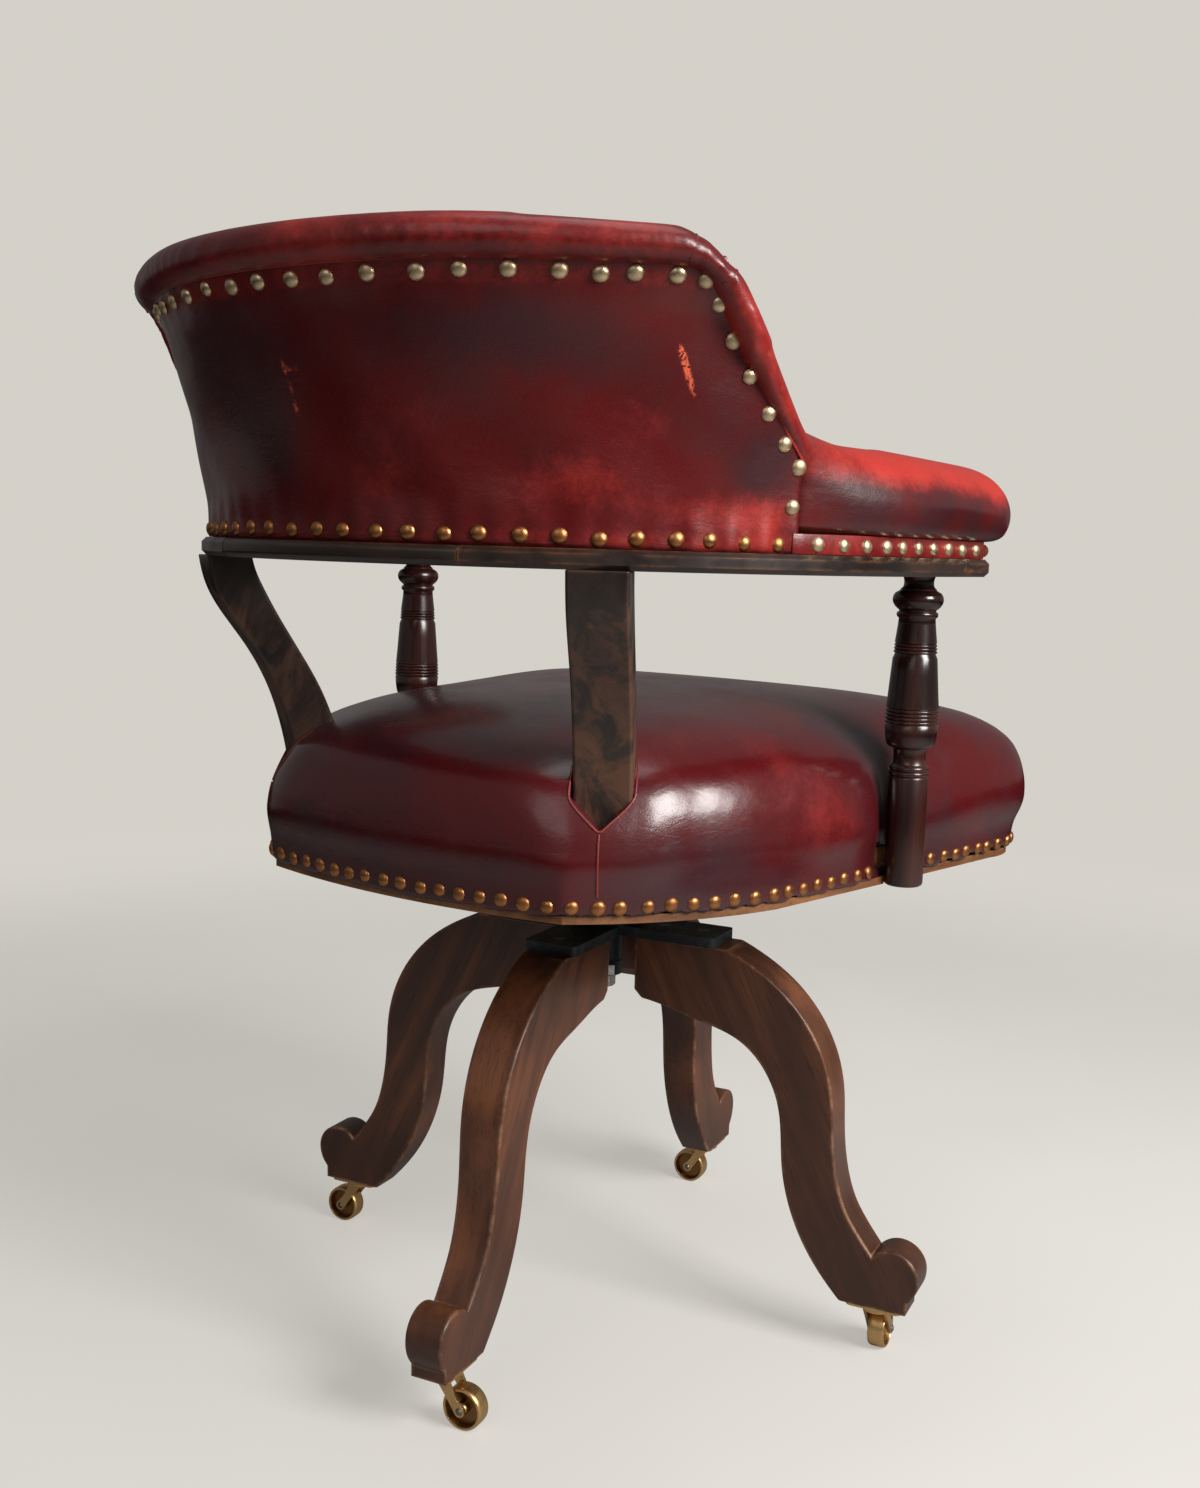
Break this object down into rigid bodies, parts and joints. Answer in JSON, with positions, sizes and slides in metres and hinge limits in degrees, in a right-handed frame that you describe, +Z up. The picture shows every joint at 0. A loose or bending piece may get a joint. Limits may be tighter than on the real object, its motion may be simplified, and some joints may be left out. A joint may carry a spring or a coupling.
{
  "type": "bankers swivel chair",
  "caption": "Swivel desk armchair with a padded horseshoe back, domed leather seat, turned arm posts and four curved wooden legs on casters.",
  "frame": {"origin": "on the floor, under the swivel axis", "axes": "+Z up along the swivel axis; the sitter faces -Y; the sitter's right hand is on the -X side"},
  "size_m": [0.58, 0.6532, 0.8],
  "materials": {
    "mahogany": "polished, worn",
    "cast_brass": "polished, aged",
    "axle_steel": "dull",
    "black_iron": "blacked",
    "bright_steel": "bright",
    "screws": "dull",
    "frame_wood": "plain",
    "webbing": "jute",
    "seat_leather": "waxed, glossy",
    "leather": "waxed, rubbed",
    "post_wood": "polished",
    "dark_wood": "ebonised, worn"
  },
  "bodies": {
    "base": {"leg_rear": "mahogany", "caster_plate_rear": "cast_brass", "leg_right": "mahogany", "caster_plate_right": "cast_brass", "leg_front": "mahogany", "caster_plate_front": "cast_brass", "leg_left": "mahogany", "caster_plate_left": "cast_brass", "base_cross": "black_iron", "base_cross_screws": "screws", "caster_plate_screws": "screws", "thrust_washer": "bright_steel"},
    "seat": {"swivel_spindle": "bright_steel", "retaining_collar": "black_iron", "collar_bolt": "black_iron", "seat_spider": "black_iron", "seat_spider_screws": "screws", "seat_frame": "frame_wood", "batten_right": "frame_wood", "batten_left": "frame_wood", "seat_webbing": "webbing", "seat_pad": "seat_leather", "post_screws": "screws", "arm_post_right": "post_wood", "arm_post_left": "post_wood", "stump_right": "dark_wood", "stump_left": "dark_wood", "rail_bow": "dark_wood", "arm_rail_left": "dark_wood", "arm_rail_right": "dark_wood", "arm_board_right": "frame_wood", "arm_board_left": "frame_wood", "arm_pad_right": "leather", "arm_pad_left": "leather", "back_board": "frame_wood", "outside_back": "leather", "back_pad": "leather", "top_roll": "leather"},
    "caster_fork_rear": {"caster_fork_rear": "cast_brass", "caster_axle_rear": "axle_steel"},
    "caster_wheel_rear": {"caster_wheel_rear": "cast_brass"},
    "caster_fork_right": {"caster_fork_right": "cast_brass", "caster_axle_right": "axle_steel"},
    "caster_wheel_right": {"caster_wheel_right": "cast_brass"},
    "caster_fork_front": {"caster_fork_front": "cast_brass", "caster_axle_front": "axle_steel"},
    "caster_wheel_front": {"caster_wheel_front": "cast_brass"},
    "caster_fork_left": {"caster_fork_left": "cast_brass", "caster_axle_left": "axle_steel"},
    "caster_wheel_left": {"caster_wheel_left": "cast_brass"}
  },
  "joints": [
    {"name": "seat_swivel", "type": "hinge", "parent": "base", "child": "seat", "pos_m": [0, 0, 0.338], "axis": [0, 0, 1], "continuous": true},
    {"name": "caster_swivel_rear", "type": "hinge", "parent": "base", "child": "caster_fork_rear", "pos_m": [-0.04168, 0.23635, 0.05], "axis": [0, 0, 1], "continuous": true},
    {"name": "wheel_spin_rear", "type": "hinge", "parent": "caster_fork_rear", "child": "caster_wheel_rear", "pos_m": [-0.05645, 0.23375, 0.0155], "axis": [0.1736, -0.9848, 0], "continuous": true},
    {"name": "caster_swivel_right", "type": "hinge", "parent": "base", "child": "caster_fork_right", "pos_m": [-0.23635, -0.04168, 0.05], "axis": [0, 0, 1], "continuous": true},
    {"name": "wheel_spin_right", "type": "hinge", "parent": "caster_fork_right", "child": "caster_wheel_right", "pos_m": [-0.23375, -0.05645, 0.0155], "axis": [0.9848, 0.1736, 0], "continuous": true},
    {"name": "caster_swivel_front", "type": "hinge", "parent": "base", "child": "caster_fork_front", "pos_m": [0.04168, -0.23635, 0.05], "axis": [0, 0, 1], "continuous": true},
    {"name": "wheel_spin_front", "type": "hinge", "parent": "caster_fork_front", "child": "caster_wheel_front", "pos_m": [0.05645, -0.23375, 0.0155], "axis": [-0.1736, 0.9848, 0], "continuous": true},
    {"name": "caster_swivel_left", "type": "hinge", "parent": "base", "child": "caster_fork_left", "pos_m": [0.23635, 0.04168, 0.05], "axis": [0, 0, 1], "continuous": true},
    {"name": "wheel_spin_left", "type": "hinge", "parent": "caster_fork_left", "child": "caster_wheel_left", "pos_m": [0.25113, 0.04428, 0.0155], "axis": [-0.1736, 0.9848, 0], "continuous": true}
  ]
}
